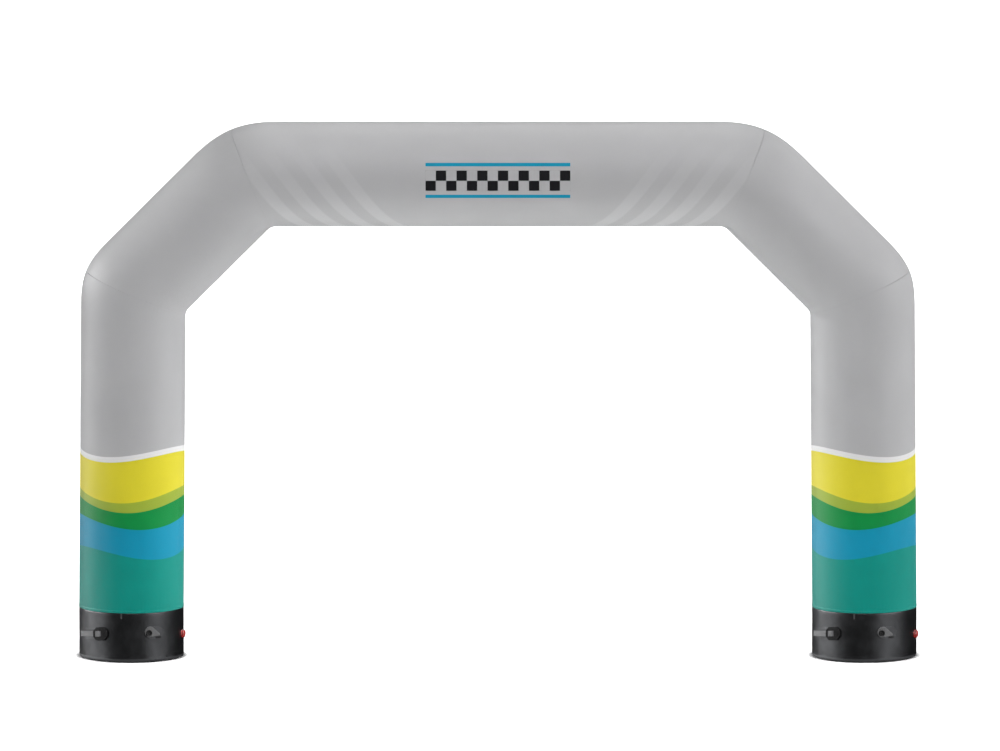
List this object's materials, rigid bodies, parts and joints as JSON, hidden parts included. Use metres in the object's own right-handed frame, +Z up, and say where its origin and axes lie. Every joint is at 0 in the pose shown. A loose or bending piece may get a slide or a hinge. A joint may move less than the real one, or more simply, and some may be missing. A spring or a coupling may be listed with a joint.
{
  "type": "inflatable arch",
  "caption": "Angular air-filled start and finish arch: upright legs, slanted haunches and a level header of printed cloth on black coated bases with anchor straps and valves.",
  "frame": {"origin": "on the ground, midway between the two bases, in the middle plane of the tube", "axes": "+X along the arch from the left leg to the right one as seen from the front, +Y to the back, +Z up"},
  "size_m": [6.1132, 0.7654, 3.916],
  "materials": {
    "cover_cloth": "taut printed polyester, grey with coloured bands on the legs, semi-matt",
    "base_coating": "black coated fabric, smooth semi-gloss",
    "webbing": "grey woven webbing",
    "black_moulding": "moulded black plastic, satin",
    "grey_moulding": "moulded grey plastic, satin",
    "red_moulding": "moulded red plastic, semi-gloss"
  },
  "bodies": {
    "root": {"leg_left": "cover_cloth", "leg_right": "cover_cloth", "haunch_left": "cover_cloth", "haunch_right": "cover_cloth", "header": "cover_cloth", "boot_left": "base_coating", "boot_right": "base_coating", "seam_tab_left": "webbing", "seam_tab_right": "webbing", "anchor_patch_left": "base_coating", "anchor_patch_right": "base_coating", "anchor_strap_left": "webbing", "anchor_strap_right": "webbing", "buckle_left": "black_moulding", "buckle_right": "black_moulding", "valve_patch_left": "base_coating", "valve_patch_right": "base_coating", "valve_collar_left": "grey_moulding", "valve_collar_right": "grey_moulding", "valve_throat_left": "black_moulding", "valve_throat_right": "black_moulding", "valve_pull_left": "black_moulding", "valve_pull_right": "black_moulding", "relief_cap_left": "red_moulding", "relief_cap_right": "red_moulding"}
  },
  "joints": []
}
